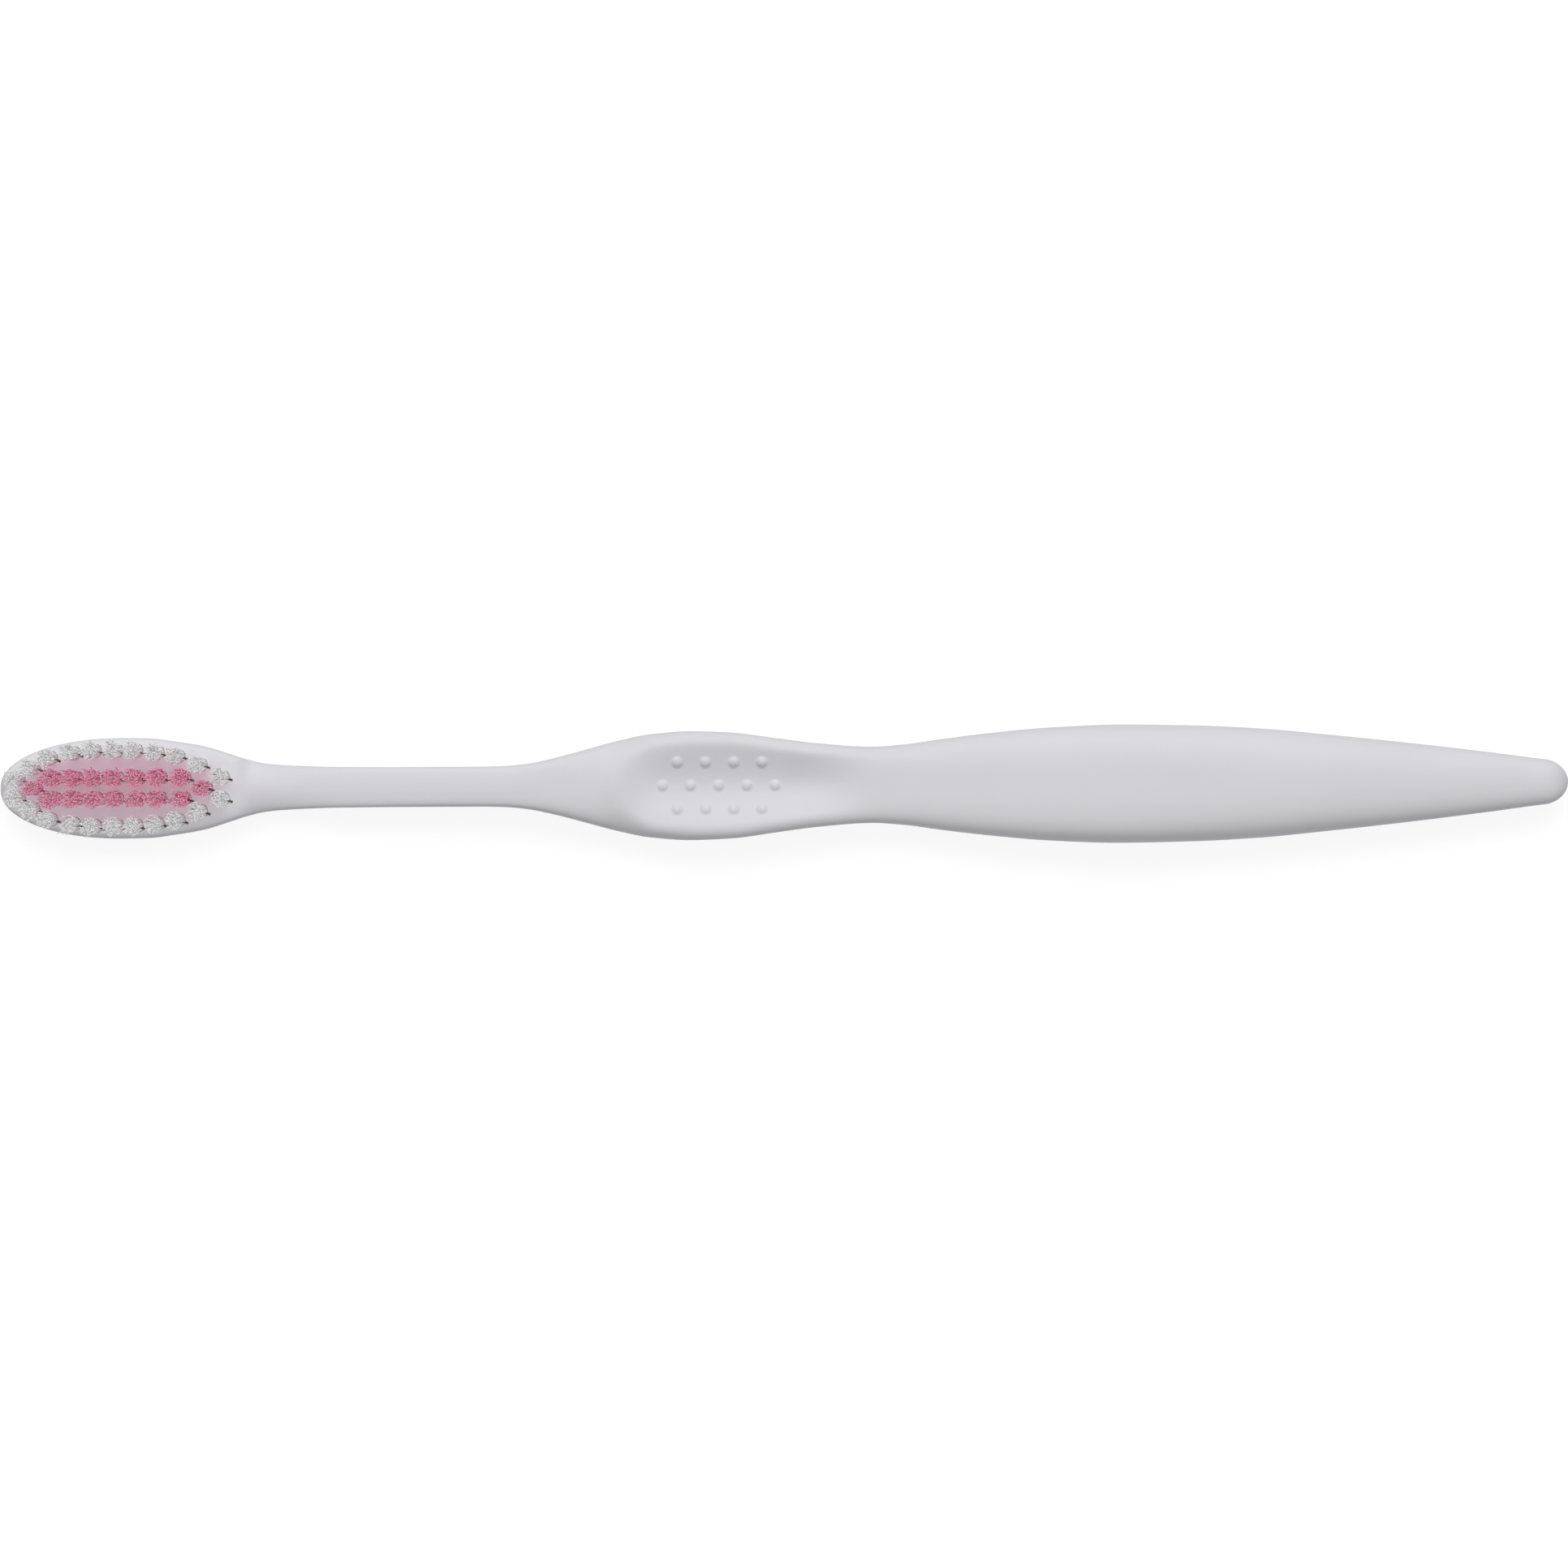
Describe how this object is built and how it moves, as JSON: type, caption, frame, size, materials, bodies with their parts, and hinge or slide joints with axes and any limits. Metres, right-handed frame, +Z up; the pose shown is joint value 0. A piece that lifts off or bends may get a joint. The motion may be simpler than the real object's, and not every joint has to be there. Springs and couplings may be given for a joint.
{
  "type": "manual toothbrush",
  "caption": "Slim one-piece manual toothbrush: oval head with a ring of white tufts round pink ones, thin neck, scooped thumb rest with grip bumps, and a tapering grip.",
  "frame": {"origin": "centre of the bounding box in plan, at the surface that the brush lies on, which its head's flat back and the grip's belly touch", "axes": "+X from the head to the tail, +Y across the brush, +Z up, the way the bristles point"},
  "size_m": [0.19, 0.0144, 0.0153],
  "materials": {
    "handle_plastic": "satin moulded polypropylene, white with a faint cool tint",
    "pink_bristle": "dyed nylon filament, rose pink, slightly translucent",
    "white_bristle": "natural nylon filament, white, slightly translucent",
    "anchor_metal": "dull cut wire"
  },
  "bodies": {
    "root": {"handle": "handle_plastic", "pink_tuft_01": "pink_bristle", "pink_tuft_02": "pink_bristle", "pink_tuft_03": "pink_bristle", "pink_tuft_04": "pink_bristle", "pink_tuft_05": "pink_bristle", "pink_tuft_06": "pink_bristle", "pink_tuft_07": "pink_bristle", "pink_tuft_08": "pink_bristle", "pink_tuft_09": "pink_bristle", "pink_tuft_10": "pink_bristle", "pink_tuft_11": "pink_bristle", "pink_tuft_12": "pink_bristle", "pink_tuft_13": "pink_bristle", "pink_tuft_14": "pink_bristle", "pink_tuft_15": "pink_bristle", "pink_tuft_16": "pink_bristle", "white_tuft_01": "white_bristle", "white_tuft_02": "white_bristle", "white_tuft_03": "white_bristle", "white_tuft_04": "white_bristle", "white_tuft_05": "white_bristle", "white_tuft_06": "white_bristle", "white_tuft_07": "white_bristle", "white_tuft_08": "white_bristle", "white_tuft_09": "white_bristle", "white_tuft_10": "white_bristle", "white_tuft_11": "white_bristle", "white_tuft_12": "white_bristle", "white_tuft_13": "white_bristle", "white_tuft_14": "white_bristle", "white_tuft_15": "white_bristle", "white_tuft_16": "white_bristle", "white_tuft_17": "white_bristle", "white_tuft_18": "white_bristle", "white_tuft_19": "white_bristle", "white_tuft_20": "white_bristle", "white_tuft_21": "white_bristle", "white_tuft_22": "white_bristle", "pink_anchors": "anchor_metal", "white_anchors": "anchor_metal"}
  },
  "joints": []
}
